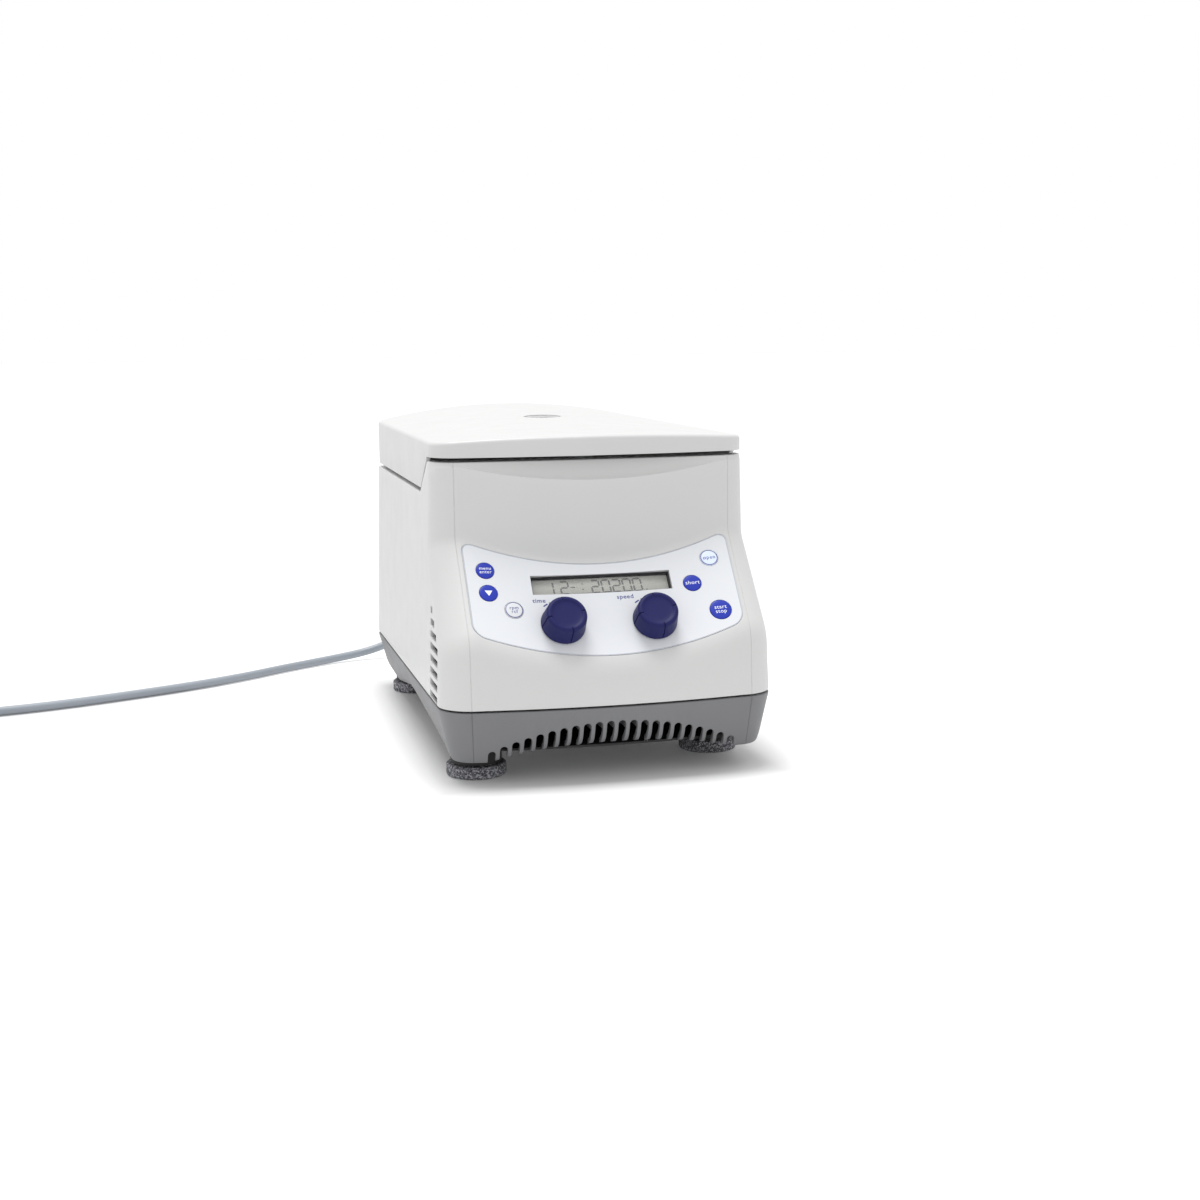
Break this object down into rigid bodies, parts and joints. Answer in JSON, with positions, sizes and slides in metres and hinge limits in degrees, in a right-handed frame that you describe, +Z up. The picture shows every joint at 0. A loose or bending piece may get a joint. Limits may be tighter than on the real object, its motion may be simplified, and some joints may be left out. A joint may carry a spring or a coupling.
{
  "type": "microcentrifuge",
  "caption": "Bench microcentrifuge: white housing on a ventilated grey base, hinged lid with round window, sloped key panel with display and knobs, fixed-angle rotor, mains lead.",
  "frame": {"origin": "middle of the underside of the feet, under the middle of the casing", "axes": "+X to the operator's right, -Y towards the operator, +Z up"},
  "size_m": [0.6582, 0.4942, 0.2373],
  "materials": {
    "housing_white": "fine moulded texture, satin",
    "base_grey": "fine moulded texture",
    "keypad_foil": "matt polyester foil",
    "display_glass": "clear flat window",
    "lid_window_glass": "clear moulded window",
    "lcd": "grey-green liquid crystal display",
    "circuit_board": "green solder resist",
    "chamber_steel": "drawn stainless steel",
    "black_rubber": "matt black",
    "motor_alloy": "die cast",
    "zinc_steel": "zinc plated",
    "ground_steel": "ground",
    "rotor_alloy": "anodised, satin",
    "black_plastic": "fine texture",
    "liner_metal": "satin sheet",
    "knob_navy": "satin soft-touch",
    "key_blue": "satin",
    "key_white": "satin, printed ring",
    "key_pale_blue": "satin, printed ring",
    "cord_grey": "satin PVC",
    "plug_grey": "moulded PVC",
    "foot_rubber": "speckled bonded rubber"
  },
  "bodies": {
    "root": {"upper_housing": "housing_white", "base_tray": "base_grey", "rear_panel": "base_grey", "keypad_foil": "keypad_foil", "display_window": "display_glass", "lcd_module": "lcd", "control_board": "circuit_board", "power_board": "circuit_board", "chamber_bowl": "chamber_steel", "chamber_gasket": "black_rubber", "drive_motor": "motor_alloy", "motor_plate": "zinc_steel", "motor_damper_1": "black_rubber", "motor_damper_2": "black_rubber", "motor_damper_3": "black_rubber", "mains_inlet": "black_plastic", "lid_lock": "black_plastic", "hinge_bracket_left": "zinc_steel", "hinge_bracket_right": "zinc_steel", "hinge_pin": "ground_steel", "time_encoder": "black_plastic", "speed_encoder": "black_plastic", "cord_run": "cord_grey", "cord_coil": "cord_grey", "cord_tail": "cord_grey", "mains_plug": "plug_grey", "appliance_connector": "plug_grey", "foot_pad_1": "foot_rubber", "foot_screw_1": "zinc_steel", "foot_pad_2": "foot_rubber", "foot_screw_2": "zinc_steel", "foot_pad_3": "foot_rubber", "foot_screw_3": "zinc_steel", "foot_pad_4": "foot_rubber", "foot_screw_4": "zinc_steel"},
    "lid": {"lid_shell": "housing_white", "lid_liner": "liner_metal", "lid_window": "lid_window_glass", "lid_striker": "zinc_steel", "lid_arm_left": "zinc_steel", "lid_arm_right": "zinc_steel"},
    "rotor": {"rotor": "rotor_alloy", "drive_shaft": "ground_steel", "rotor_lid": "rotor_alloy"},
    "rotor_nut": {"rotor_lid_nut": "black_plastic"},
    "hook": {"latch_hook": "zinc_steel"},
    "switch": {"mains_switch": "black_plastic"},
    "time_knob": {"time_knob": "knob_navy"},
    "speed_knob": {"speed_knob": "knob_navy"},
    "menu_key": {"menu_key": "key_blue"},
    "down_key": {"down_key": "key_blue"},
    "unit_key": {"unit_key": "key_white"},
    "open_key": {"open_key": "key_pale_blue"},
    "short_key": {"short_key": "key_blue"},
    "start_key": {"start_key": "key_blue"}
  },
  "joints": [
    {"name": "lid_hinge", "type": "hinge", "parent": "root", "child": "lid", "pos_m": [0, 0.178, 0.208], "axis": [-1, 0, 0], "range_deg": [0, 55]},
    {"name": "rotor_spin", "type": "hinge", "parent": "root", "child": "rotor", "pos_m": [0, 0.032, 0.19], "axis": [0, 0, 1], "continuous": true},
    {"name": "rotor_nut_turn", "type": "hinge", "parent": "rotor", "child": "rotor_nut", "pos_m": [0, 0.032, 0.19], "axis": [0, 0, 1], "continuous": true},
    {"name": "latch_slide", "type": "slide", "parent": "root", "child": "hook", "axis": [0, 1, 0], "range_m": [0, 0.004]},
    {"name": "mains_switch_rock", "type": "hinge", "parent": "root", "child": "switch", "pos_m": [-0.024, 0.182, 0.072], "axis": [1, 0, 0], "range_deg": [-12, 0]},
    {"name": "time_knob_turn", "type": "hinge", "parent": "root", "child": "time_knob", "pos_m": [-0.0316, -0.1738, 0.10452], "axis": [0.0379, -0.7688, 0.6384], "continuous": true},
    {"name": "speed_knob_turn", "type": "hinge", "parent": "root", "child": "speed_knob", "pos_m": [0.0316, -0.1738, 0.10452], "axis": [-0.0379, -0.7688, 0.6384], "continuous": true},
    {"name": "menu_key_press", "type": "slide", "parent": "root", "child": "menu_key", "axis": [-0.0971, 0.7688, -0.6321], "range_m": [0, 0.0005], "stiffness_N_per_m": 400},
    {"name": "down_key_press", "type": "slide", "parent": "root", "child": "down_key", "axis": [-0.0944, 0.769, -0.6322], "range_m": [0, 0.0005], "stiffness_N_per_m": 400},
    {"name": "unit_key_press", "type": "slide", "parent": "root", "child": "unit_key", "axis": [-0.0754, 0.7689, -0.6349], "range_m": [0, 0.0005], "stiffness_N_per_m": 400},
    {"name": "open_key_press", "type": "slide", "parent": "root", "child": "open_key", "axis": [0.0965, 0.7688, -0.6322], "range_m": [0, 0.0005], "stiffness_N_per_m": 400},
    {"name": "short_key_press", "type": "slide", "parent": "root", "child": "short_key", "axis": [0.0767, 0.7688, -0.6348], "range_m": [0, 0.0005], "stiffness_N_per_m": 400},
    {"name": "start_key_press", "type": "slide", "parent": "root", "child": "start_key", "axis": [0.0907, 0.7692, -0.6325], "range_m": [0, 0.0005], "stiffness_N_per_m": 400}
  ]
}
